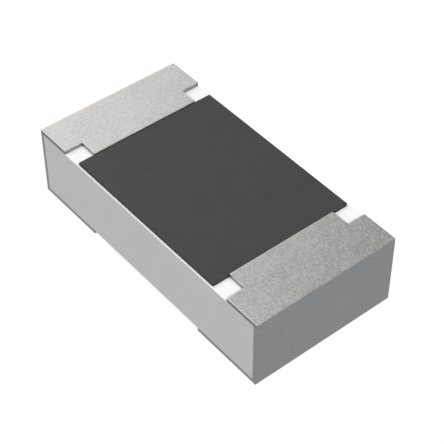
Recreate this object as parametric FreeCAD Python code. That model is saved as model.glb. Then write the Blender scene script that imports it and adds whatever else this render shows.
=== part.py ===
import FreeCAD, Part
import os

# Surface-mount chip resistor, 1608 metric size, modelled layer by layer in millimetres.
# +X runs along the chip, +Y across it and +Z up. The origin is at the chip's middle, as in placement data.
# "right" is the end at +X and "left" its mirror image at -X.
#
# A ceramic plate carries a printed resistive film between two T-shaped inner electrodes. A glass layer covers
# the film, a laser has cut an L through both, and a dark overcoat fills the cut and seals the middle of the
# chip. Each end is metallised over its top, end face and underside, and then plated with nickel and tin, so
# every plated layer is a C-shaped shell that grows over the one before it.

# Ceramic plate
SUBSTRATE_LENGTH = 1.55
SUBSTRATE_WIDTH = 0.80
SUBSTRATE_THICKNESS = 0.35

# Layer thicknesses of a termination, from the ceramic outwards
CONDUCTOR_THICKNESS = 0.005
NICKEL_THICKNESS = 0.006
TIN_THICKNESS = 0.009
TIN_EDGE_RADIUS = 0.004

# Outline of a plated termination, measured from its outer end face
TOP_PAD_LENGTH = 0.20
TONGUE_REACH = 0.30
TONGUE_WIDTH = 0.60
BOTTOM_PAD_LENGTH = 0.40

# Resistive film, inside the inner electrode's tongue on both sides
FILM_THICKNESS = 0.004
FILM_OVERLAP = 0.05
FILM_SIDE_INSET = 0.035

# Glass layer printed over the film and a little past it all round
GLASS_THICKNESS = 0.003
GLASS_MARGIN = 0.02

# Laser trim, an L-shaped cut that plunges in from the film's side and then runs along the chip
KERF_WIDTH = 0.03
KERF_ENTRY_X = -0.12
KERF_PLUNGE = 0.20
KERF_RUN = 0.22

# Dark overcoat
OVERCOAT_COVER = 0.003
OVERCOAT_SIDE_INSET = 0.010
OVERCOAT_END_SEAL = 0.03
OVERCOAT_CORNER_RADIUS = 0.006
OVERCOAT_EDGE_RADIUS = 0.003

# Planes that the layers share
PLATING_STACK = CONDUCTOR_THICKNESS + NICKEL_THICKNESS + TIN_THICKNESS
SIDE = SUBSTRATE_WIDTH / 2
CERAMIC_END = SUBSTRATE_LENGTH / 2
CERAMIC_TOP = SUBSTRATE_THICKNESS / 2
CERAMIC_BOTTOM = -CERAMIC_TOP
CHIP_END = CERAMIC_END + PLATING_STACK
OVERCOAT_END = CHIP_END - TONGUE_REACH
GLASS_END = OVERCOAT_END - OVERCOAT_END_SEAL
FILM_END = GLASS_END - GLASS_MARGIN
ELECTRODE_TIP = FILM_END - FILM_OVERLAP
FILM_SIDE = TONGUE_WIDTH / 2 - (NICKEL_THICKNESS + TIN_THICKNESS) - FILM_SIDE_INSET
GLASS_SIDE = FILM_SIDE + GLASS_MARGIN
GLASS_TOP = CERAMIC_TOP + CONDUCTOR_THICKNESS + FILM_THICKNESS + GLASS_THICKNESS

UP = FreeCAD.Vector(0, 0, 1)
ALONG = FreeCAD.Vector(1, 0, 0)
ACROSS = FreeCAD.Vector(0, 1, 0)
CENTRE = FreeCAD.Vector(0, 0, 0)
SAME_PLACE = 1e-6


def extrude_outline(corners, direction):
    """Closes the corners into a flat face and carries it along the direction."""
    outline = Part.makePolygon(corners + corners[:1])
    return Part.Face(outline).extrude(direction)


def side_profile(points_xz, half_width):
    """A shape given by its outline seen from the side, symmetric about the chip's long axis."""
    corners = [FreeCAD.Vector(x, -half_width, z) for x, z in points_xz]
    return extrude_outline(corners, ACROSS * (2 * half_width))


def plan_profile(points_xy, bottom, top):
    """A shape given by its outline seen from above, between two levels."""
    corners = [FreeCAD.Vector(x, y, bottom) for x, y in points_xy]
    return extrude_outline(corners, UP * (top - bottom))


def rectangle(low_x, high_x, half_width):
    """The four corners of a rectangle that is symmetric about the chip's long axis."""
    return [(low_x, -half_width), (high_x, -half_width), (high_x, half_width), (low_x, half_width)]


def mirrored(shape):
    """The same shape at the other end of the chip."""
    return shape.mirror(CENTRE, ALONG)


def alumina_substrate():
    """The plain ceramic plate, snapped square from its sheet."""
    outline = rectangle(-CERAMIC_END, CERAMIC_END, SIDE)
    return plan_profile(outline, CERAMIC_BOTTOM, CERAMIC_TOP)


def layer_margin(growth):
    """How far metal of this thickness on the ceramic stays inside the finished plating's outline."""
    return PLATING_STACK - growth


def top_inner_electrode():
    """The printed T under the plating, whose tongue runs on under the overcoat to carry the film."""
    margin = layer_margin(CONDUCTOR_THICKNESS)
    pad_start = CHIP_END - TOP_PAD_LENGTH + margin
    pad_side = SIDE - margin
    tongue_side = TONGUE_WIDTH / 2 - margin
    near_side = [
        (CERAMIC_END, -pad_side),
        (pad_start, -pad_side),
        (pad_start, -tongue_side),
        (ELECTRODE_TIP, -tongue_side),
    ]
    far_side = [(x, -y) for x, y in reversed(near_side)]
    return plan_profile(near_side + far_side, CERAMIC_TOP, CERAMIC_TOP + CONDUCTOR_THICKNESS)


def bottom_inner_electrode():
    """The printed pad on the underside."""
    margin = layer_margin(CONDUCTOR_THICKNESS)
    outline = rectangle(CHIP_END - BOTTOM_PAD_LENGTH + margin, CERAMIC_END, SIDE - margin)
    return plan_profile(outline, CERAMIC_BOTTOM - CONDUCTOR_THICKNESS, CERAMIC_BOTTOM)


def end_face_electrode():
    """The metal on the end face, which joins the printed pads above and below it."""
    half_width = SIDE - layer_margin(CONDUCTOR_THICKNESS)
    outline = rectangle(CERAMIC_END, CERAMIC_END + CONDUCTOR_THICKNESS, half_width)
    return plan_profile(outline, CERAMIC_BOTTOM - CONDUCTOR_THICKNESS, CERAMIC_TOP + CONDUCTOR_THICKNESS)


def metal_envelope(growth):
    """All the metal of one end up to this thickness, a C seen from the side and a T seen from above."""
    margin = layer_margin(growth)
    outer_x = CERAMIC_END + growth
    foot_x = CHIP_END - BOTTOM_PAD_LENGTH + margin
    low_z = CERAMIC_BOTTOM - growth
    high_z = CERAMIC_TOP + growth
    clamp = [
        (foot_x, low_z),
        (outer_x, low_z),
        (outer_x, high_z),
        (OVERCOAT_END, high_z),
        (OVERCOAT_END, CERAMIC_TOP),
        (CERAMIC_END, CERAMIC_TOP),
        (CERAMIC_END, CERAMIC_BOTTOM),
        (foot_x, CERAMIC_BOTTOM),
    ]
    envelope = side_profile(clamp, SIDE - margin)
    pad_start = CHIP_END - TOP_PAD_LENGTH + margin
    tongue_side = TONGUE_WIDTH / 2 - margin
    for side in (-1, 1):
        notch = [
            (OVERCOAT_END, side * tongue_side),
            (pad_start, side * tongue_side),
            (pad_start, side * SIDE),
            (OVERCOAT_END, side * SIDE),
        ]
        envelope = envelope.cut(plan_profile(notch, CERAMIC_TOP, high_z))
    return envelope


def edges_at_height(shape, height):
    """The edges that lie level at this height."""
    return [edge for edge in shape.Edges if all(abs(end.Z - height) < SAME_PLACE for end in edge.Vertexes)]


def upright_edges(shape):
    """The edges that run straight up."""
    return [edge for edge in shape.Edges if edge.tangentAt(edge.FirstParameter).isParallel(UP, SAME_PLACE)]


def nickel_barrier():
    """The nickel shell between the inner electrodes and the tin."""
    grown = metal_envelope(CONDUCTOR_THICKNESS + NICKEL_THICKNESS)
    return grown.cut(metal_envelope(CONDUCTOR_THICKNESS)).removeSplitter()


def tin_plating():
    """The outer shell that solder wets, with the rounded outer edges that plated metal has."""
    grown = metal_envelope(PLATING_STACK)
    top_rim = edges_at_height(grown, CERAMIC_TOP + PLATING_STACK)
    bottom_rim = edges_at_height(grown, CERAMIC_BOTTOM - PLATING_STACK)
    end_corners = [edge for edge in upright_edges(grown) if abs(edge.Vertexes[0].X - CHIP_END) < SAME_PLACE]
    radius = min(TIN_EDGE_RADIUS, TIN_THICKNESS / 2)
    rounded = grown.makeFillet(radius, top_rim + bottom_rim + end_corners)
    return rounded.cut(metal_envelope(CONDUCTOR_THICKNESS + NICKEL_THICKNESS))


def terrace(end_x, thickness, half_width):
    """Layers of this thickness, low on the bare ceramic and stepping up onto the electrodes at both ends."""
    step_x = ELECTRODE_TIP - thickness
    low_level = CERAMIC_TOP + thickness
    high_level = CERAMIC_TOP + CONDUCTOR_THICKNESS + thickness
    outline = [
        (-end_x, CERAMIC_TOP),
        (end_x, CERAMIC_TOP),
        (end_x, high_level),
        (step_x, high_level),
        (step_x, low_level),
        (-step_x, low_level),
        (-step_x, high_level),
        (-end_x, high_level),
    ]
    return side_profile(outline, half_width)


def laser_kerf():
    """The path of the trimming laser, open to the side where it came in."""
    outside_y = -GLASS_SIDE - KERF_WIDTH
    deep_y = -FILM_SIDE + KERF_PLUNGE
    outline = [
        (KERF_ENTRY_X, outside_y),
        (KERF_ENTRY_X + KERF_WIDTH, outside_y),
        (KERF_ENTRY_X + KERF_WIDTH, deep_y - KERF_WIDTH),
        (KERF_ENTRY_X + KERF_RUN, deep_y - KERF_WIDTH),
        (KERF_ENTRY_X + KERF_RUN, deep_y),
        (KERF_ENTRY_X, deep_y),
    ]
    return plan_profile(outline, CERAMIC_TOP, GLASS_TOP)


def protective_overcoat(buried):
    """The dark print that seals everything between the terminations, level on top."""
    top = GLASS_TOP + OVERCOAT_COVER
    outline = rectangle(-OVERCOAT_END, OVERCOAT_END, SIDE - OVERCOAT_SIDE_INSET)
    coat = plan_profile(outline, CERAMIC_TOP, top)
    coat = coat.makeFillet(OVERCOAT_CORNER_RADIUS, upright_edges(coat))
    coat = coat.makeFillet(min(OVERCOAT_EDGE_RADIUS, (top - CERAMIC_TOP) / 2), edges_at_height(coat, top))
    return coat.cut(buried)


def middle_nodes(electrodes):
    """The ceramic and the layers printed between the terminations, by name."""
    kerf = laser_kerf()
    film_print = terrace(FILM_END, FILM_THICKNESS, FILM_SIDE).cut(electrodes)
    glass_print = terrace(GLASS_END, FILM_THICKNESS + GLASS_THICKNESS, GLASS_SIDE)
    glass_print = glass_print.cut([electrodes, film_print])
    film = film_print.cut(kerf)
    glass = glass_print.cut(kerf)
    return {
        "alumina_substrate": alumina_substrate(),
        "resistive_film": film,
        "glass_undercoat": glass,
        "protective_overcoat": protective_overcoat([electrodes, film, glass]),
    }


def end_nodes(top_electrode):
    """The metal layers of both ends, by name."""
    layers = {
        "top_inner_electrode": top_electrode,
        "bottom_inner_electrode": bottom_inner_electrode(),
        "end_face_electrode": end_face_electrode(),
        "nickel_barrier": nickel_barrier(),
        "tin_plating": tin_plating(),
    }
    right = {f"{name}_right": shape for name, shape in layers.items()}
    left = {f"{name}_left": mirrored(shape) for name, shape in layers.items()}
    return right | left


top_electrode_right = top_inner_electrode()
both_top_electrodes = top_electrode_right.fuse(mirrored(top_electrode_right))
chip = middle_nodes(both_top_electrodes) | end_nodes(top_electrode_right)

os.makedirs("parts", exist_ok=True)
for node_name, node_shape in chip.items():
    node_shape.exportStep(f"parts/{node_name}.step")
    print(f"{node_name}: {len(node_shape.Solids)} solid, {node_shape.Volume:.7f} mm3")
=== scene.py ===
"""Looks of a surface-mount chip resistor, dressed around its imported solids.

The white ceramic block, the dark printed coat and the two plated ends are surfaces worked out with numpy.
The thin layers that are sealed under them keep their solids and get finishes of their own. Everything
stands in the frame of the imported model, in metres: +X along the chip, +Y across it, +Z up from the solder
pads. Sizes in the classes are in millimetres, as on a drawing, and are turned into metres when a mesh is
made.
"""

import logging
from collections.abc import Iterable
from dataclasses import dataclass
from enum import Enum

import bpy
import numpy as np
from mathutils import Matrix, Vector


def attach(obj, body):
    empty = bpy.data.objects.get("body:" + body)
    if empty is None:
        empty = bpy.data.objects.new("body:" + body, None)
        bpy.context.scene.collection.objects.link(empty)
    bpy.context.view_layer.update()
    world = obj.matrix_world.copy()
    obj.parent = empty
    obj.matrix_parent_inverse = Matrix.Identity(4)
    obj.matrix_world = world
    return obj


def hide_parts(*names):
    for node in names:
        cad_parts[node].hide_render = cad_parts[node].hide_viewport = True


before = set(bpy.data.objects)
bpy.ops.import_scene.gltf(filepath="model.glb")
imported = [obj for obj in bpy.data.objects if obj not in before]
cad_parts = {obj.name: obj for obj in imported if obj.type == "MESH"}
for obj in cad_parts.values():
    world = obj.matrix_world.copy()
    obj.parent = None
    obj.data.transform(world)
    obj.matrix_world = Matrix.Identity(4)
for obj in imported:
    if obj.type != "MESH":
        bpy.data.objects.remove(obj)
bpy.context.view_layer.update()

LOG = logging.getLogger("chip_resistor")
Array = np.ndarray
Colour = tuple[float, float, float]

MILLIMETRE = 1e-3
MICROMETRE = 1e-6
FAR = 10.0
HAIR = 1e-7
SHARP_FROM_DEGREES = 38.0
WHITE = (1.0, 1.0, 1.0)
GRAIN_DETAIL, DRIFT_DETAIL = 3.0, 1.0
# Nearly all values of a noise lie in this range.
NOISE_LOW, NOISE_HIGH = 0.3, 0.7


class End(Enum):
    """The end of the chip that a termination wraps. Its value is the sign of X there."""

    RIGHT = 1.0
    LEFT = -1.0


class Cover(Enum):
    """Where a finish shows its coarse grain."""

    EVERYWHERE = "all faces"
    PADS = "faces that look up or down"


def rim_lines(radius: float, count: int = 5) -> Array:
    """Distances from a rim at even angles of its rounding: radius times one minus the cosine of the angle.

    Args:
        radius: radius of the rounding.
        count: number of lines, from the rim itself to where the rounding ends.

    Returns:
        The distances, from 0 to the radius.
    """
    return radius * (1.0 - np.cos(np.linspace(0.0, np.pi / 2.0, count)))


def rim_drop(distance: Array, radius: float | Array) -> Array:
    """Fall of a rounded rim: radius minus the root of radius squared less (radius minus distance) squared.

    Args:
        distance: distance from the rim, inwards.
        radius: radius of the rounding, one for all points or one for each.

    Returns:
        How far the face lies below its flat level at each distance.
    """
    left = radius - np.clip(distance, 0.0, radius)
    return radius - np.sqrt(np.clip(radius**2 - left**2, 0.0, None))


def grid_lines(stops: Iterable[float], step: float) -> Array:
    """Lines of a grid that passes through every stop, evenly divided between stops that lie far apart.

    Args:
        stops: places that have to be lines.
        step: widest gap that is left between two lines.

    Returns:
        The lines in rising order, each once.
    """
    fixed = np.array(sorted(stops))
    fixed = fixed[np.concatenate([[True], np.diff(fixed) > HAIR])]
    runs = [
        np.linspace(a, b, int(np.ceil((b - a) / step - HAIR)) + 1)[:-1]
        for a, b in zip(fixed[:-1], fixed[1:])
    ]
    return np.concatenate([*runs, fixed[-1:]])


def rounded_corner(a: Array, b: Array, radius: float) -> tuple[Array, Array, Array]:
    """Turns the square corner of a plan into a quarter circle.

    With u and v as the shares of the corner square left towards its two edges, u becomes u times the root of
    (1 - v squared / 2), and v the same with u. That takes the square's two edges onto the circle.

    Args:
        a: distance from the first edge.
        b: distance from the second edge.
        radius: radius of the corner, and side of the square that it bends.

    Returns:
        The new distances from the two edges, and the distance from the round rim, which is FAR off the
        corner.
    """
    near = (a >= -HAIR) & (b >= -HAIR) & (a < radius) & (b < radius)
    u = np.where(near, 1.0 - a / radius, 0.0)
    v = np.where(near, 1.0 - b / radius, 0.0)
    bent_u = u * np.sqrt(1.0 - v**2 / 2.0)
    bent_v = v * np.sqrt(1.0 - u**2 / 2.0)
    rim = np.where(near, radius * (1.0 - np.hypot(bent_u, bent_v)), FAR)
    return np.where(near, radius * (1.0 - bent_u), a), np.where(near, radius * (1.0 - bent_v), b), rim


def smooth_step(value: Array, low: float, high: float) -> Array:
    """Smooth rise from 0 at low to 1 at high: t squared times (3 - 2 t)."""
    t = np.clip((value - low) / (high - low), 0.0, 1.0)
    return t * t * (3.0 - 2.0 * t)


@dataclass(frozen=True)
class Relief:
    """Gentle waviness of a real surface.

    The height at a point is the amplitude times the sum of the sines of plane waves that cross it, over the
    root of their number. Wave lengths are spread in even ratios, and headings and phases come from one seeded
    draw.

    Attributes:
        amplitude: size of the waviness, in millimetres.
        shortest: shortest wave length, in millimetres.
        longest: longest wave length, in millimetres.
        seed: seed of the draw.
        waves: number of plane waves.
    """

    amplitude: float
    shortest: float
    longest: float
    seed: int
    waves: int = 20

    def height(self, points: Array) -> Array:
        """Works out the waviness at points in millimetres.

        Args:
            points: array whose last axis holds x, y and z.

        Returns:
            Heights in millimetres, one for each point.
        """
        draw = np.random.default_rng(self.seed)
        length = np.geomspace(self.shortest, self.longest, self.waves)
        heading = draw.normal(size=(self.waves, 3))
        heading /= np.linalg.norm(heading, axis=1)[:, None]
        phase = draw.uniform(0.0, 2.0 * np.pi, self.waves)
        turns = points @ (heading / length[:, None]).T
        return self.amplitude * np.sin(2.0 * np.pi * turns + phase).sum(-1) / np.sqrt(self.waves)


@dataclass(frozen=True)
class Skin:
    """A closed surface as an array of points in millimetres and an array of quads."""

    points: Array
    quads: Array

    def turned(self, sign: float) -> "Skin":
        """Turns the surface half a turn about Z where the sign is negative."""
        return Skin(self.points * np.array([sign, sign, 1.0]), self.quads)

    def to_piece(self, name: str) -> bpy.types.Object:
        """Puts the surface into a mesh object at the origin, with smooth faces and crisp edges at its folds.

        Args:
            name: name of the piece.

        Returns:
            The new object, linked to the scene.
        """
        used, index = np.unique(self.quads, return_inverse=True)
        points = self.points[used] * MILLIMETRE
        quads = index.reshape(self.quads.shape)
        mesh = bpy.data.meshes.new(name)
        mesh.vertices.add(len(points))
        mesh.vertices.foreach_set("co", points.astype(np.float32).ravel())
        mesh.loops.add(quads.size)
        mesh.loops.foreach_set("vertex_index", quads.astype(np.int32).ravel())
        mesh.polygons.add(len(quads))
        mesh.polygons.foreach_set("loop_start", np.arange(0, quads.size, 4, dtype=np.int32))
        mesh.polygons.foreach_set("use_smooth", np.ones(len(quads), dtype=bool))
        mesh.update(calc_edges=True)
        mesh.validate()
        mesh.set_sharp_from_angle(angle=np.radians(SHARP_FROM_DEGREES))
        piece = bpy.data.objects.new(name, mesh)
        bpy.context.scene.collection.objects.link(piece)
        return piece


def closed_sheet(upper: Array, lower: Array, cells: Array) -> Skin:
    """Joins two point grids over the same cells into one closed surface.

    The upper grid is a function of two parameters, row and column, and faces outwards. The lower grid has the
    same rows and columns and faces the other way. A wall joins them wherever a cell has no neighbour.

    Args:
        upper: points of the outer face, rows by columns by three.
        lower: points of the inner face, of the same shape.
        cells: which cells between the lines are filled, one row and one column fewer.

    Returns:
        The closed surface.
    """
    rows, columns = upper.shape[:2]
    index = np.arange(rows * columns).reshape(rows, columns)
    under = rows * columns
    a, b, c, d = index[:-1, :-1], index[1:, :-1], index[1:, 1:], index[:-1, 1:]
    top = np.stack([a, b, c, d], axis=-1)[cells]
    bottom = top[:, ::-1] + under
    filled = np.pad(cells, 1)
    before, after = filled[:-1, 1:-1], filled[1:, 1:-1]
    left, right = filled[1:-1, :-1], filled[1:-1, 1:]
    rims = [
        (index[:, 1:][after & ~before], index[:, :-1][after & ~before]),
        (index[:, :-1][before & ~after], index[:, 1:][before & ~after]),
        (index[:-1, :][right & ~left], index[1:, :][right & ~left]),
        (index[1:, :][left & ~right], index[:-1, :][left & ~right]),
    ]
    walls = [np.stack([q, p, p + under, q + under], axis=-1) for p, q in rims]
    points = np.concatenate([upper.reshape(-1, 3), lower.reshape(-1, 3)])
    return Skin(points, np.concatenate([top, bottom, *walls]))


class Nodes:
    """Short hand for laying out the nodes of one material or sky."""

    def __init__(self, tree: bpy.types.NodeTree) -> None:
        """Keeps the tree and empties it.

        Args:
            tree: node tree to fill.
        """
        self.tree = tree
        tree.nodes.clear()

    def add(self, kind: str, inputs: dict | None = None, **settings: object) -> bpy.types.Node:
        """Adds a node.

        Args:
            kind: Blender's name of the node type, without its ShaderNode prefix.
            inputs: values or sockets for its inputs, by input name or number.
            settings: properties of the node.

        Returns:
            The new node.
        """
        node = self.tree.nodes.new("ShaderNode" + kind)
        for key, value in settings.items():
            setattr(node, key, value)
        for key, value in (inputs or {}).items():
            if isinstance(value, bpy.types.NodeSocket):
                self.tree.links.new(value, node.inputs[key])
            else:
                node.inputs[key].default_value = value
        return node

    def noise(self, where: bpy.types.NodeSocket, size: float, detail: float) -> bpy.types.NodeSocket:
        """Adds a noise whose features are about as large as size, in metres, and returns its value."""
        return self.add("TexNoise", {"Vector": where, "Scale": 1.0 / size, "Detail": detail}).outputs["Fac"]

    def spread(self, value: bpy.types.NodeSocket, low: float, high: float,
               to_low: float, to_high: float) -> bpy.types.NodeSocket:
        """Adds a clamped linear change of range.

        Args:
            value: socket to read.
            low: value that gives to_low.
            high: value that gives to_high.
            to_low: result at low.
            to_high: result at high.

        Returns:
            The result's socket.
        """
        inputs = {"Value": value, "From Min": low, "From Max": high, "To Min": to_low, "To Max": to_high}
        return self.add("MapRange", inputs).outputs["Result"]

    def mix(self, share: bpy.types.NodeSocket | float, first: Colour | bpy.types.NodeSocket,
            second: Colour | bpy.types.NodeSocket) -> bpy.types.NodeSocket:
        """Adds a mix of two colours.

        Args:
            share: share of the second colour.
            first: first colour.
            second: second colour.

        Returns:
            The mixed colour's socket.
        """
        node = self.add("Mix", data_type="RGBA")
        for number, value in ((0, share), (6, first), (7, second)):
            if isinstance(value, bpy.types.NodeSocket):
                self.tree.links.new(value, node.inputs[number])
            else:
                node.inputs[number].default_value = value if number == 0 else (*value, 1.0)
        return node.outputs[2]

    def times(self, first: bpy.types.NodeSocket,
              second: bpy.types.NodeSocket | float) -> bpy.types.NodeSocket:
        """Adds a product of two values and returns its socket."""
        return self.add("Math", {0: first, 1: second}, operation="MULTIPLY").outputs[0]


@dataclass(frozen=True)
class Finish:
    """A grained finish on Object coordinates.

    Two noises set it: a fine grain, and a broad drift many grains wide. Both move the colour between its dark
    and its light tone and the roughness between its two ends, and the grain also lifts the surface.

    Attributes:
        name: name of the material.
        dark: colour in the hollows of the grain.
        light: colour on its tops.
        metallic: 1 for metal, 0 for anything else.
        roughness: roughness on the tops and in the hollows.
        grain: size of the grain, in micrometres.
        drift: size of the broad drift, in micrometres.
        drift_share: how much of the change from dark to light the drift makes, from 0 to 1.
        lift: height of the grain, in micrometres.
        specular: specular level of the shader.
        cover: faces that show the grain in full.
        calm: share of the grain that the other faces keep.
        pad_level: height above the middle, in millimetres, over which a face counts as a pad.
        fade: length over which a pad's grain and the outer sides' painted shade set in, in micrometres.
        wall: painted shade: darker colour of the low steps on the ceramic, or None where they keep the common
            colour.
        wall_top: height over which a step ends, in millimetres.
        wall_reach: distance from the middle of the chip up to which there are such steps, in millimetres.
        wall_fade: length over which the painted shade of the steps sets in, in micrometres.
        flank: share of the steps' painted shade that the outer long sides get.
        flank_from: distance across the chip from which a face counts as an outer side, in millimetres.
        flank_foot: height above the middle over which the outer sides get painted shade, in millimetres.
    """

    name: str
    dark: Colour
    light: Colour
    metallic: float
    roughness: tuple[float, float]
    grain: float
    drift: float
    drift_share: float
    lift: float
    specular: float = 0.5
    cover: Cover = Cover.EVERYWHERE
    calm: float = 0.5
    pad_level: float = 0.19
    fade: float = 2.0
    wall: Colour | None = None
    wall_top: float = 0.19
    wall_reach: float = 1.0
    wall_fade: float = 0.25
    flank: float = 0.0
    flank_from: float = 0.4
    flank_foot: float = 0.175

    def build(self) -> bpy.types.Material:
        """Makes the material.

        Returns:
            The new material.
        """
        material = bpy.data.materials.new(self.name)
        material.use_nodes = True
        nodes = Nodes(material.node_tree)
        where = nodes.add("TexCoord").outputs["Object"]
        shader = nodes.add("BsdfPrincipled", {
            "Metallic": self.metallic,
            "Specular IOR Level": self.specular,
        })
        grain = nodes.noise(where, self.grain * MICROMETRE, GRAIN_DETAIL)
        drift = nodes.noise(where, self.drift * MICROMETRE, DRIFT_DETAIL)
        force = self.grain_force(nodes, where)
        tone = nodes.add("Mix", {
            0: self.drift_share,
            2: nodes.spread(grain, NOISE_LOW, NOISE_HIGH, 0.0, 1.0),
            3: nodes.spread(drift, NOISE_LOW, NOISE_HIGH, 0.0, 1.0),
        }).outputs[0]
        toned = nodes.add("Mix", {0: force, 2: 0.5, 3: tone}).outputs[0]
        self.finish_shader(nodes, shader, where, toned, grain, force)
        output = nodes.add("OutputMaterial")
        material.node_tree.links.new(shader.outputs["BSDF"], output.inputs["Surface"])
        return material

    def grain_force(self, nodes: Nodes, where: bpy.types.NodeSocket) -> bpy.types.NodeSocket | float:
        """Works out where the grain shows in full.

        Args:
            nodes: nodes of the material.
            where: Object coordinates.

        Returns:
            1 for an even cover, or a socket that falls to the calm share off the pads.
        """
        if self.cover is Cover.EVERYWHERE:
            return 1.0
        height = nodes.add("SeparateXYZ", {0: where}).outputs["Z"]
        away = nodes.add("Math", {0: height}, operation="ABSOLUTE").outputs[0]
        level = self.pad_level * MILLIMETRE
        return nodes.spread(away, level, level + self.fade * MICROMETRE, self.calm, 1.0)

    def painted_shade_share(self, nodes: Nodes, where: bpy.types.NodeSocket) -> bpy.types.NodeSocket:
        """Works out where the layer's steps and outer sides get painted shade.

        They are the low steps on the ceramic, which lie under wall_top, above the middle and within reach,
        and in part the outer long sides.

        Args:
            nodes: nodes of the material.
            where: Object coordinates.

        Returns:
            A socket that is 1 on the steps, the flank's share on the outer sides and 0 elsewhere.
        """
        apart = nodes.add("SeparateXYZ", {0: where})
        top, reach = self.wall_top * MILLIMETRE, self.wall_reach * MILLIMETRE
        soft, fade = self.wall_fade * MICROMETRE, self.fade * MICROMETRE
        under = nodes.spread(apart.outputs["Z"], top - 2.0 * soft, top, 1.0, 0.0)
        raised = nodes.spread(apart.outputs["Z"], 0.0, soft, 0.0, 1.0)
        away = nodes.add("Math", {0: apart.outputs["X"]}, operation="ABSOLUTE").outputs[0]
        within = nodes.spread(away, reach, reach + soft, 1.0, 0.0)
        steps = nodes.times(nodes.times(under, raised), within)
        side = nodes.add("Math", {0: apart.outputs["Y"]}, operation="ABSOLUTE").outputs[0]
        outer, foot = self.flank_from * MILLIMETRE, self.flank_foot * MILLIMETRE
        shaded_flanks = nodes.spread(side, outer, outer + 2.0 * soft, 0.0, self.flank)
        upper = nodes.spread(apart.outputs["Z"], foot - fade, foot, 0.0, 1.0)
        return nodes.add("Math", {0: steps, 1: nodes.times(shaded_flanks, upper)}, operation="MAXIMUM").outputs[0]

    def finish_shader(self, nodes: Nodes, shader: bpy.types.Node, where: bpy.types.NodeSocket,
                      tone: bpy.types.NodeSocket, grain: bpy.types.NodeSocket,
                      force: bpy.types.NodeSocket | float) -> None:
        """Links colour, roughness and bump to the shader.

        Args:
            nodes: nodes of the material.
            shader: the surface shader.
            where: Object coordinates.
            tone: 0 in the hollows to 1 on the tops.
            grain: the raw grain.
            force: share of the grain that shows.
        """
        link = nodes.tree.links.new
        colour = nodes.mix(tone, self.dark, self.light)
        # Painted shade: the steps and the outer long sides get the darker wall colour.
        if self.wall is not None:
            colour = nodes.mix(self.painted_shade_share(nodes, where), colour, self.wall)
        link(colour, shader.inputs["Base Color"])
        link(nodes.spread(tone, 0.0, 1.0, self.roughness[1], self.roughness[0]), shader.inputs["Roughness"])
        lifted = nodes.times(grain, force) if not isinstance(force, float) else grain
        bump = nodes.add("Bump", {"Height": lifted, "Distance": self.lift * MICROMETRE, "Strength": 1.0})
        link(bump.outputs["Normal"], shader.inputs["Normal"])


# The tin's darker wall colour and its flank share are painted shade on its steps and outer long sides.
TIN = Finish(
    "matte_tin", dark=(0.576, 0.570, 0.558), light=(0.862, 0.852, 0.838), metallic=1.0,
    roughness=(0.435, 0.325), grain=8.0, drift=120.0, drift_share=0.10, lift=0.3, cover=Cover.PADS,
    wall=(0.31, 0.308, 0.303), wall_top=0.1942, wall_reach=0.597, flank=0.45, flank_from=0.3990)
ALUMINA = Finish(
    "fired_alumina", dark=(0.925, 0.920, 0.912), light=(0.990, 0.984, 0.976), metallic=0.0,
    roughness=(0.55, 0.65), grain=7.0, drift=90.0, drift_share=0.3, lift=0.12)
# The coat's darker wall colour is painted shade on its side faces.
OVERCOAT = Finish(
    "dark_epoxy_print", dark=(0.0377, 0.0376, 0.0375), light=(0.0528, 0.0526, 0.0525), metallic=0.0,
    roughness=(0.46, 0.56), grain=8.0, drift=110.0, drift_share=0.3, lift=0.12, specular=0.41,
    wall=(0.028, 0.028, 0.028), wall_top=0.188)
FILM = Finish(
    "fired_resistor_paste", dark=(0.018, 0.018, 0.020), light=(0.060, 0.060, 0.066), metallic=0.0,
    roughness=(0.5, 0.7), grain=5.0, drift=60.0, drift_share=0.3, lift=0.25)
GLASS = Finish(
    "fired_green_glass", dark=(0.09, 0.17, 0.12), light=(0.16, 0.28, 0.20), metallic=0.0,
    roughness=(0.12, 0.25), grain=18.0, drift=90.0, drift_share=0.5, lift=0.08)
SILVER = Finish(
    "fired_silver_print", dark=(0.62, 0.61, 0.58), light=(0.86, 0.85, 0.82), metallic=1.0,
    roughness=(0.35, 0.55), grain=6.0, drift=70.0, drift_share=0.25, lift=0.3)
END_METAL = Finish(
    "sputtered_end_metal", dark=(0.46, 0.46, 0.47), light=(0.60, 0.60, 0.61), metallic=1.0,
    roughness=(0.25, 0.38), grain=4.0, drift=60.0, drift_share=0.3, lift=0.1)
NICKEL = Finish(
    "plated_nickel", dark=(0.52, 0.50, 0.46), light=(0.68, 0.66, 0.62), metallic=1.0,
    roughness=(0.24, 0.36), grain=7.0, drift=80.0, drift_share=0.3, lift=0.12)


def dressed(piece: bpy.types.Object, finish: Finish, node: str) -> bpy.types.Object:
    """Gives a new piece its finish and hands it to the frame.

    Args:
        piece: the new piece.
        finish: its finish.
        node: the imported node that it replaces.

    Returns:
        The same piece.
    """
    piece.data.materials.append(finish.build())
    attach(piece, "root")
    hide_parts(node)
    return piece


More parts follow.
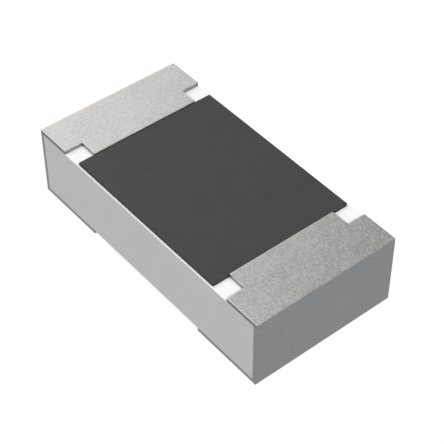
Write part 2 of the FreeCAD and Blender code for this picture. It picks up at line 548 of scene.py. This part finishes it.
@dataclass(frozen=True)
class CeramicBlock:
    """The fired white block that carries everything, with the slight rounding of tumbled edges."""

    half_length: float = 0.775
    half_width: float = 0.400
    half_height: float = 0.175
    edge_radius: float = 0.0004
    step: float = 0.012
    relief: Relief = Relief(0.00012, 0.030, 0.150, 11)

    def lines(self, half: float) -> Array:
        """Grid lines along one axis, drawn together over the rounding.

        A line lies at the radius times one minus the tangent of an even step of angle, from the edge inwards.

        Args:
            half: half of the block's size along the axis.

        Returns:
            The lines in rising order.
        """
        near = self.edge_radius * (1.0 - np.tan(np.radians([0.0, 15.0, 30.0, 45.0])))
        return grid_lines([*(near - half), *(half - near)], self.step)

    def surface(self) -> Skin:
        """Works out the block as six grids that share their edges.

        A point of the sharp block is pulled to the core that is smaller by the radius all round, and then
        goes out again by the radius, plus the relief, in the direction that it came from.

        Returns:
            The closed surface.
        """
        halves = np.array([self.half_length, self.half_width, self.half_height])
        lines = [self.lines(half) for half in halves]
        counts = np.array([len(line) for line in lines])
        quads = []
        for axis in range(3):
            u, v = (axis + 1) % 3, (axis + 2) % 3
            i, j = np.meshgrid(np.arange(counts[u]), np.arange(counts[v]), indexing="ij")
            for side in (0, counts[axis] - 1):
                at = np.empty((*i.shape, 3), dtype=np.int64)
                at[..., axis], at[..., u], at[..., v] = side, i, j
                key = (at[..., 0] * counts[1] + at[..., 1]) * counts[2] + at[..., 2]
                quad = np.stack([key[:-1, :-1], key[1:, :-1], key[1:, 1:], key[:-1, 1:]], axis=-1)
                quads.append(quad.reshape(-1, 4) if side else quad.reshape(-1, 4)[:, ::-1])
        keys, index = np.unique(np.concatenate(quads), return_inverse=True)
        columns, deep = keys // counts[2], keys % counts[2]
        at = np.stack([columns // counts[1], columns % counts[1], deep], axis=-1)
        sharp = np.stack([lines[axis][at[:, axis]] for axis in range(3)], axis=-1)
        core = np.clip(sharp, self.edge_radius - halves, halves - self.edge_radius)
        out = (sharp - core) / np.linalg.norm(sharp - core, axis=1)[:, None]
        points = core + out * (self.edge_radius + self.relief.height(sharp))[:, None]
        return Skin(points, index.reshape(-1, 4))

    def build(self) -> bpy.types.Object:
        """Makes and dresses the block, and returns its piece."""
        return dressed(self.surface().to_piece("ceramic_block"), ALUMINA, "alumina_substrate")


@dataclass(frozen=True)
class PrintedCoat:
    """The dark epoxy print over the middle of the top, with soft corners and rim and a stepped underside."""

    half_length: float = 0.495
    half_width: float = 0.3911
    base: float = 0.175
    thickness: float = 0.015
    rim_radius: float = 0.002
    corner_radius: float = 0.004
    step: float = 0.008
    ledge: float = 0.0003
    relief: Relief = Relief(0.00015, 0.030, 0.200, 23)
    relief_from_rim: float = 0.016
    electrode_tip: float = 0.395
    electrode_half_width: float = 0.291
    electrode_height: float = 0.005
    film_half_length: float = 0.445
    film_half_width: float = 0.250
    film_height: float = 0.004
    glass_half_length: float = 0.465
    glass_half_width: float = 0.270
    glass_height: float = 0.003

    def surface(self) -> Skin:
        """Works out the coat as a height over its plan.

        The outer face is flat, falls as a quarter circle along its rim, and has the relief faded in from
        there. The underside steps over the electrode tips, the film and the glass, whose heights add where
        they overlap.

        Returns:
            The closed surface.
        """
        rim = rim_lines(self.rim_radius)
        steps_x = (self.electrode_tip, self.film_half_length, self.glass_half_length)
        steps_y = (self.electrode_half_width, self.film_half_width, self.glass_half_width)
        x = self.lines(self.half_length, rim, steps_x)
        y = self.lines(self.half_width, rim, steps_y)
        across, along = np.meshgrid(y, x)
        to_end, to_side = self.half_length - np.abs(along), self.half_width - np.abs(across)
        bent_end, bent_side, round_rim = rounded_corner(to_end, to_side, self.corner_radius)
        distance = np.minimum(np.minimum(to_end, to_side), round_rim)
        distance = np.where(round_rim < FAR, round_rim, distance)
        plan_x = np.sign(along) * (self.half_length - bent_end)
        plan_y = np.sign(across) * (self.half_width - bent_side)
        flat = np.stack([plan_x, plan_y, np.full_like(plan_x, self.base + self.thickness)], axis=-1)
        wave = self.relief.height(flat) * smooth_step(distance, self.rim_radius, self.relief_from_rim)
        upper = flat.copy()
        upper[..., 2] += wave - rim_drop(distance, self.rim_radius)
        lower = flat.copy()
        lower[..., 2] = self.base + self.buried_height(along, across)
        return closed_sheet(upper, lower, np.ones((len(x) - 1, len(y) - 1), dtype=bool))

    def lines(self, half: float, rim: Array, steps: tuple[float, ...]) -> Array:
        """Grid lines across the coat, with a pair of lines at each step of the underside.

        Args:
            half: half of the coat's size along the axis.
            rim: distances from the rim that need a line.
            steps: distances from the middle at which the underside steps.

        Returns:
            The lines in rising order.
        """
        marks = np.concatenate([half - rim, np.array(steps), np.array(steps) + self.ledge])
        return grid_lines([*marks, *-marks], self.step)

    def buried_height(self, x: Array, y: Array) -> Array:
        """Height of the layers under the coat: the sum of the thicknesses of those that reach the point.

        Args:
            x: distances along the chip.
            y: distances across it.

        Returns:
            Height above the ceramic.
        """
        x, y, slack = np.abs(x), np.abs(y), self.ledge / 2.0
        electrode = (x > self.electrode_tip + slack) & (y < self.electrode_half_width + slack)
        film = (x < self.film_half_length + slack) & (y < self.film_half_width + slack)
        glass = (x < self.glass_half_length + slack) & (y < self.glass_half_width + slack)
        return electrode * self.electrode_height + film * self.film_height + glass * self.glass_height

    def build(self) -> bpy.types.Object:
        """Makes and dresses the coat, and returns its piece."""
        return dressed(self.surface().to_piece("printed_coat"), OVERCOAT, "protective_overcoat")


@dataclass(frozen=True)
class PlatedEnd:
    """A plated termination: one sheet, T-shaped on top, folded over the end and back under the chip.

    Rows follow the sheet from the tongue's tip along the top, down the end face and back along the solder
    pad. Columns run across the chip. Between the two folds a row leans over, because the sheet's outer face
    is longer than the ceramic that it wraps.
    """

    end: End
    chip_end: float = 0.795
    chip_top: float = 0.195
    stack: float = 0.020
    skin: float = 0.009
    half_width: float = 0.400
    tongue_half_width: float = 0.3006
    tongue_reach: float = 0.300
    pad_length: float = 0.200
    solder_pad_length: float = 0.400
    rim_radius: float = 0.0017
    crisp_radius: float = 0.0006
    corner_radius: float = 0.004
    fold_radius: float = 0.0009
    ceramic_edge: float = 0.001
    lean_length: float = 0.045
    ledge: float = 0.0005
    step: float = 0.007
    fold_lines: int = 6
    relief: Relief = Relief(0.00010, 0.025, 0.120, 37)
    relief_from_rim: float = 0.0068
    crisp_near_fold: float = 0.0068
    crisp_blend: float = 0.008

    def columns(self) -> Array:
        """Lines across the chip, drawn together at the rims of pad and tongue and at the lips below them.

        Returns:
            The lines in rising order, from one long side to the other.
        """
        rim = rim_lines(self.rim_radius)
        halves = (self.half_width, self.tongue_half_width)
        marks = np.concatenate([np.concatenate([half - rim, half - self.lip_lines()]) for half in halves])
        return grid_lines([*marks, *-marks, 0.0], self.step)

    def lip_lines(self) -> Array:
        """Distances from a rim at which the underside rises from the ceramic to the inside of the skin."""
        return np.array([self.skin - self.ledge, self.skin])

    def flat_lines(self, tip: float, rims: tuple[float, ...]) -> Array:
        """Lines along the top or the solder pad.

        Args:
            tip: distance of the sheet's free edge from the middle of the chip.
            rims: places where the outline has an edge across the chip.

        Returns:
            The lines from the tip to the start of the fold.
        """
        offsets = np.concatenate([rim_lines(self.rim_radius), self.lip_lines()])
        marks = np.add.outer(np.array(rims), offsets).ravel()
        return grid_lines([tip, *marks, self.chip_end - self.fold_radius], self.step)

    def leant(self, outer: Array, reach: float) -> Array:
        """Place on the ceramic that belongs to a place on the outer face.

        It is the same place up to the lean's start, and from there the distance is scaled down, so that the
        two folds meet.

        Args:
            outer: distances from the middle along the outer face.
            reach: distance of the outer fold's start.

        Returns:
            Distances from the middle along the ceramic.
        """
        start = reach - self.lean_length
        inner_reach = reach + self.fold_radius - self.stack - self.ceramic_edge
        scale = (inner_reach - start) / (reach - start)
        away = np.abs(outer)
        return np.sign(outer) * np.where(away > start, start + (away - start) * scale, away)

    def rows(self) -> dict[str, Array]:
        """Works out the side profile that every row of the sheet follows.

        The profile is a straight top, a quarter circle, a straight end, a quarter circle and a straight
        underside. The same stretches on the ceramic give the inner profile.

        Returns:
            For each row the outer and inner point and the direction of travel, each as x and z, the distances
            from the tongue's tip, past the shoulder and from the solder pad's tip, which are FAR elsewhere,
            and what is left of the top up to the fold, which is 0 past it.
        """
        reach_x, reach_z = self.chip_end - self.fold_radius, self.chip_top - self.fold_radius
        inner_x = self.chip_end - self.stack - self.ceramic_edge
        inner_z = self.chip_top - self.stack - self.ceramic_edge
        tip, shoulder = self.chip_end - self.tongue_reach, self.chip_end - self.pad_length
        foot = self.chip_end - self.solder_pad_length
        top = self.flat_lines(tip, (tip, shoulder))
        under = self.flat_lines(foot, (foot,))[::-1]
        down = grid_lines([-reach_z, self.lean_length - reach_z, reach_z - self.lean_length, reach_z],
                          self.step)[::-1]
        angle = np.linspace(0.0, np.pi / 2.0, self.fold_lines + 1)[1:-1]
        sine, cosine = np.sin(angle), np.cos(angle)
        ceramic_x, ceramic_z = self.chip_end - self.stack, self.chip_top - self.stack
        outer = np.concatenate([
            np.stack([top, np.full_like(top, self.chip_top)], axis=-1),
            np.stack([reach_x + self.fold_radius * sine, reach_z + self.fold_radius * cosine], axis=-1),
            np.stack([np.full_like(down, self.chip_end), down], axis=-1),
            np.stack([reach_x + self.fold_radius * cosine, -reach_z - self.fold_radius * sine], axis=-1),
            np.stack([under, np.full_like(under, -self.chip_top)], axis=-1),
        ])
        inner = np.concatenate([
            np.stack([self.leant(top, reach_x), np.full_like(top, ceramic_z)], axis=-1),
            np.stack([inner_x + self.ceramic_edge * sine, inner_z + self.ceramic_edge * cosine], axis=-1),
            np.stack([np.full_like(down, ceramic_x), self.leant(down, reach_z)], axis=-1),
            np.stack([inner_x + self.ceramic_edge * cosine, -inner_z - self.ceramic_edge * sine], axis=-1),
            np.stack([self.leant(under, reach_x), np.full_like(under, -ceramic_z)], axis=-1),
        ])
        count, tops, unders = len(outer), len(top), len(under)
        travel = np.zeros((count, 2))
        travel[:tops, 0], travel[-unders:, 0] = 1.0, -1.0
        from_tip, past_shoulder, from_foot = (np.full(count, FAR) for _ in range(3))
        from_tip[:tops], past_shoulder[:tops], from_foot[-unders:] = top - tip, top - shoulder, under - foot
        to_fold = np.zeros(count)
        to_fold[:tops] = reach_x - top
        return {"outer": outer, "inner": inner, "travel": travel, "from_tip": from_tip,
                "past_shoulder": past_shoulder, "from_foot": from_foot, "to_fold": to_fold}

    def surface(self) -> Skin:
        """Works out the folded sheet.

        A point is the row's inner point plus its share of the way to the row's outer point. On the outer
        face the share is the full stack less the rim's fall, plus the relief. On the inner face it is nothing
        under the lip, which stands on the ceramic, and the stack less the skin everywhere else.

        Returns:
            The closed surface, at the right end of the chip.
        """
        rows, y = self.rows(), self.columns()
        across = np.broadcast_to(np.abs(y), (len(rows["outer"]), len(y)))
        tip, past, foot = (rows[key][:, None] for key in ("from_tip", "past_shoulder", "from_foot"))
        side, tongue_side = self.half_width - across, self.tongue_half_width - across
        tip, past, foot = (np.broadcast_to(value, across.shape) for value in (tip, past, foot))
        distance = np.where(past < -HAIR, np.minimum(tip, tongue_side), np.where(
            tongue_side < 0.0, np.minimum(past, side), np.minimum(np.hypot(past, tongue_side), side)))
        distance = np.minimum(distance, foot)
        shift_row, shift_side = np.zeros_like(across), np.zeros_like(across)
        for edge, flank, way in ((tip, tongue_side, 1.0), (past, side, 1.0), (foot, side, -1.0)):
            bent_edge, bent_flank, round_rim = rounded_corner(edge, flank, self.corner_radius)
            shift_row = shift_row + way * (bent_edge - edge)
            shift_side = shift_side + (bent_flank - flank)
            distance = np.where(round_rim < FAR, round_rim, distance)
        inside = (foot > self.skin - HAIR) & (
            ((across < self.tongue_half_width - self.skin + HAIR) & (tip > self.skin - HAIR))
            | ((across < self.half_width - self.skin + HAIR) & (past > self.skin - HAIR)))
        plan_y = np.sign(y)[None, :] * (across - shift_side)
        lower = self.placed(rows, plan_y, shift_row, np.where(inside, self.stack - self.skin, 0.0))
        smooth = self.placed(rows, plan_y, shift_row, np.full_like(across, self.stack))
        wave = self.relief.height(smooth) * smooth_step(distance, self.rim_radius, self.relief_from_rim)
        level = self.stack - rim_drop(distance, self.rim_radii(rows, tip, past)) + wave
        upper = self.placed(rows, plan_y, shift_row, level)
        middle = (np.abs(y[1:] + y[:-1]) / 2.0)[None, :]
        beyond = ((rows["past_shoulder"][1:] + rows["past_shoulder"][:-1]) / 2.0)[:, None]
        return closed_sheet(upper, lower, (middle < self.tongue_half_width) | (beyond > 0.0))

    def rim_radii(self, rows: dict[str, Array], tip: Array, past: Array) -> Array:
        """Radius of the rim at each point.

        It is the rim radius on top. It falls smoothly to the crisp radius towards the fold, and along the
        tongue's sides between its round corners and the shoulder.

        Args:
            rows: the profile that rows gives.
            tip: distances from the tongue's tip.
            past: distances past the shoulder.

        Returns:
            The radii.
        """
        from_corner = smooth_step(tip, self.corner_radius, self.corner_radius + self.crisp_blend)
        on_flank = from_corner * smooth_step(-past, 0.0, self.crisp_blend)
        near_fold = 1.0 - smooth_step(rows["to_fold"][:, None], 0.0, self.crisp_near_fold)
        return self.rim_radius + np.maximum(on_flank, near_fold) * (self.crisp_radius - self.rim_radius)

    def placed(self, rows: dict[str, Array], plan_y: Array, shift: Array, level: Array) -> Array:
        """Puts points of the sheet in space.

        Args:
            rows: the profile that rows gives.
            plan_y: distance across the chip of each point.
            shift: how far each point slides along the direction of travel.
            level: height of each point above the ceramic.

        Returns:
            Points as rows by columns by three.
        """
        inner, outer, travel = (rows[key][:, None, :] for key in ("inner", "outer", "travel"))
        profile = inner + (outer - inner) * (level / self.stack)[..., None]
        profile = profile + travel * np.abs(shift)[..., None]
        return np.stack([profile[..., 0], plan_y, profile[..., 1]], axis=-1)

    def build(self) -> bpy.types.Object:
        """Makes and dresses the termination.

        Returns:
            The termination's piece.
        """
        word = self.end.name.lower()
        piece = self.surface().turned(self.end.value).to_piece(f"plated_end_{word}")
        return dressed(piece, TIN, f"tin_plating_{word}")


@dataclass(frozen=True)
class SealedLayers:
    """The thin layers under coat and plating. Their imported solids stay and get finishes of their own."""

    finishes: tuple[tuple[str, Finish], ...] = (
        ("resistive_film", FILM),
        ("glass_undercoat", GLASS),
        ("top_inner_electrode", SILVER),
        ("bottom_inner_electrode", SILVER),
        ("end_face_electrode", END_METAL),
        ("nickel_barrier", NICKEL),
    )

    def dress(self) -> list[str]:
        """Puts a finish on every sealed node.

        Returns:
            The names of the nodes, in order.
        """
        done = []
        for stem, finish in self.finishes:
            material = finish.build()
            for name, node in sorted(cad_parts.items()):
                if name.startswith(stem):
                    node.data.materials.clear()
                    node.data.materials.append(material)
                    done.append(name)
        return done


def facing(azimuth: float, elevation: float) -> Vector:
    """Unit vector from the chip towards a place, with azimuth 0 at -Y and 90 at +X, both in degrees."""
    a, e = np.radians(azimuth), np.radians(elevation)
    return Vector((np.sin(a) * np.cos(e), -np.cos(a) * np.cos(e), np.sin(e)))


@dataclass(frozen=True)
class Softbox:
    """A soft rectangular lamp that looks at the chip.

    Attributes:
        name: name of the lamp.
        azimuth: direction in degrees, 0 at -Y and 90 at +X.
        elevation: height in degrees.
        distance: distance from the chip, in millimetres.
        width: level side, in millimetres.
        height: other side, in millimetres.
        glow: radiance of its face, where 1 is the white of the picture.
    """

    name: str
    azimuth: float
    elevation: float
    distance: float
    width: float
    height: float
    glow: float

    def build(self) -> bpy.types.Object:
        """Hangs the lamp.

        Returns:
            The lamp's object.
        """
        lamp = bpy.data.lights.new(self.name, "AREA")
        lamp.shape = "RECTANGLE"
        lamp.size, lamp.size_y = self.width * MILLIMETRE, self.height * MILLIMETRE
        lamp.energy = self.glow * np.pi * lamp.size * lamp.size_y
        holder = bpy.data.objects.new(self.name, lamp)
        away = facing(self.azimuth, self.elevation)
        holder.location = away * self.distance * MILLIMETRE
        holder.rotation_mode = "QUATERNION"
        holder.rotation_quaternion = (-away).to_track_quat("-Z", "Y")
        holder.visible_camera = False
        bpy.context.scene.collection.objects.link(holder)
        return holder


@dataclass(frozen=True)
class Sky:
    """Light from the studio's ceiling, dim from the walls and the floor, and white where the camera sees it.

    A dark flag hangs high behind the chip. The flat plating mirrors its soft edge, so that the plating is
    light at the far end and darker at the near end, as in the photograph. Straight above the chip the ceiling
    is shaded too, so that the plating keeps its tone when it is seen from above.

    Attributes:
        above: glow of the walls at table height.
        overhead: glow of the ceiling, reached at the height of high.
        high: height at which the ceiling's glow is reached, as the sine of the elevation.
        below: glow of the floor, as the chip's faces mirror it.
        tint: colour of the light from below.
        blend: height over which below turns into above.
        flag_azimuth: direction of the flag in degrees, 0 at -Y and 90 at +X.
        flag_elevation: height of the flag in degrees.
        flag_inner: angle from its middle at which the flag begins to fade, in degrees.
        flag_outer: angle at which it has faded out, in degrees.
        flag_share: share of the ceiling's glow that the flag takes away at its middle.
        shade_from: sine of the elevation from which the ceiling is shaded.
        shade_full: sine of the elevation at which the shade is full.
        shade_share: share of the ceiling's glow that the full shade takes away.
        backdrop: glow that the camera sees, just past the white of the picture.
    """

    above: float = 0.01
    overhead: float = 1.062
    high: float = 0.7
    below: float = 0.329
    tint: Colour = (0.965, 0.992, 1.043)
    blend: float = 0.08
    flag_azimuth: float = 190.0
    flag_elevation: float = 50.0
    flag_inner: float = 18.0
    flag_outer: float = 32.0
    flag_share: float = 0.967
    shade_from: float = 0.78
    shade_full: float = 0.97
    shade_share: float = 0.35
    backdrop: float = 1.02

    def build(self) -> None:
        """Makes the world."""
        world = bpy.data.worlds.new("studio_walls")
        world.use_nodes = True
        nodes = Nodes(world.node_tree)
        where = nodes.add("TexCoord").outputs["Generated"]
        up = nodes.add("SeparateXYZ", {0: where}).outputs["Z"]
        walls = nodes.spread(up, -self.blend, self.blend, self.below, self.above)
        ceiling = nodes.spread(up, self.blend, self.high, 0.0, self.overhead - self.above)
        flag = facing(self.flag_azimuth, self.flag_elevation)
        near = nodes.add("VectorMath", {0: where, 1: flag}, operation="DOT_PRODUCT").outputs["Value"]
        outer, inner = np.cos(np.radians([self.flag_outer, self.flag_inner]))
        past_flag = self.eased(nodes, near, outer, inner, self.flag_share)
        past_shade = self.eased(nodes, up, self.shade_from, self.shade_full, self.shade_share)
        left = nodes.times(nodes.times(ceiling, past_flag), past_shade)
        glow = nodes.add("Math", {0: walls, 1: left}, operation="ADD").outputs[0]
        from_above = nodes.spread(up, -self.blend, self.blend, 0.0, 1.0)
        colour = nodes.mix(from_above, self.tint, WHITE)
        lit = nodes.add("Background", {"Color": colour, "Strength": glow})
        plain = nodes.add("Background", {"Color": (*WHITE, 1.0), "Strength": self.backdrop})
        seen = nodes.add("LightPath").outputs["Is Camera Ray"]
        either = nodes.add("MixShader", {0: seen, 1: lit.outputs[0], 2: plain.outputs[0]})
        nodes.add("OutputWorld", {0: either.outputs[0]})
        bpy.context.scene.world = world

    def eased(self, nodes: Nodes, value: bpy.types.NodeSocket, low: float, high: float,
              share: float) -> bpy.types.NodeSocket:
        """Adds a smooth fall of the glow from all of it to what a shade leaves.

        Args:
            nodes: nodes of the world.
            value: socket to read.
            low: value up to which all of the glow is left.
            high: value from which the shade is full.
            share: share of the glow that the full shade takes away.

        Returns:
            The socket of the share that is left.
        """
        inputs = {"Value": value, "From Min": low, "From Max": high, "To Min": 1.0, "To Max": 1.0 - share}
        return nodes.add("MapRange", inputs, interpolation_type="SMOOTHSTEP").outputs["Result"]


@dataclass(frozen=True)
class Table:
    """The pale table top under the chip. It takes a faint shadow and throws no light back on the chip."""

    half: float = 120.0
    top: float = -0.195
    glow: float = 0.84
    tone: float = 0.20

    def build(self) -> bpy.types.Object:
        """Makes the table top and its finish.

        Returns:
            The table's object.
        """
        edge = np.array([-1.0, 1.0]) * self.half
        y, x = np.meshgrid(edge, edge)
        points = np.stack([x, y, np.full_like(x, self.top)], axis=-1).reshape(-1, 3)
        piece = Skin(points, np.array([[0, 2, 3, 1]])).to_piece("table_top")
        material = bpy.data.materials.new("pale_table")
        material.use_nodes = True
        nodes = Nodes(material.node_tree)
        shader = nodes.add("BsdfPrincipled", {
            "Base Color": (self.tone, self.tone, self.tone, 1.0),
            "Roughness": 1.0,
            "Specular IOR Level": 0.0,
            "Emission Color": (*WHITE, 1.0),
            "Emission Strength": self.glow,
        })
        nodes.add("OutputMaterial", {0: shader.outputs[0]})
        piece.data.materials.append(material)
        piece.visible_diffuse = False
        piece.visible_glossy = False
        return piece


@dataclass(frozen=True)
class PhotoCamera:
    """The camera of the photograph, from a pinhole camera fitted to its straight edges."""

    place: tuple[float, float, float] = (3.60650, -2.89368, 4.56174)
    azimuth: float = 50.637
    elevation: float = 45.017
    roll: float = 0.042
    lens: float = 112.576
    sensor: float = 36.0
    nearest: float = 0.5
    farthest: float = 400.0

    def build(self) -> bpy.types.Object:
        """Sets up the camera and makes it the scene's.

        Returns:
            The camera's object.
        """
        lens = bpy.data.cameras.new("photo_camera")
        lens.lens, lens.sensor_width = self.lens, self.sensor
        lens.clip_start, lens.clip_end = self.nearest * MILLIMETRE, self.farthest * MILLIMETRE
        camera = bpy.data.objects.new("photo_camera", lens)
        look = (-facing(self.azimuth, self.elevation)).to_track_quat("-Z", "Y").to_matrix()
        turn = look @ Matrix.Rotation(np.radians(self.roll), 3, "Z")
        camera.rotation_mode = "QUATERNION"
        camera.rotation_quaternion = turn.to_quaternion()
        camera.location = Vector(self.place) * MILLIMETRE
        bpy.context.scene.collection.objects.link(camera)
        bpy.context.scene.camera = camera
        return camera


LAMPS = (
    Softbox("left_softbox", 330.0, 60.0, 12.0, 10.0, 10.0, 0.92),
    Softbox("right_softbox", 110.0, 60.0, 12.0, 10.0, 10.0, 0.96),
    Softbox("right_wide_softbox", 110.0, 50.0, 12.0, 13.0, 12.0, 0.30),
    Softbox("far_low_panel", 245.0, 20.0, 7.0, 4.0, 4.0, 0.044),
    Softbox("far_left_panel", 260.0, 25.0, 7.0, 6.0, 6.0, 0.208),
)


def main() -> None:
    """Builds the pieces in order, dresses the sealed layers and sets up the studio."""
    logging.basicConfig(level=logging.INFO, format="%(name)s: %(message)s")
    view = bpy.context.scene.view_settings
    view.view_transform, view.look = "Standard", "None"
    for part in (CeramicBlock(), PrintedCoat(), PlatedEnd(End.RIGHT), PlatedEnd(End.LEFT)):
        piece = part.build()
        LOG.info("%s has %d faces", piece.name, len(piece.data.polygons))
    for name in SealedLayers().dress():
        LOG.info("%s keeps its solid and has its own finish", name)
    Sky().build()
    Table().build()
    for lamp in LAMPS:
        lamp.build()
    PhotoCamera().build()


if __name__ == "__main__":
    main()
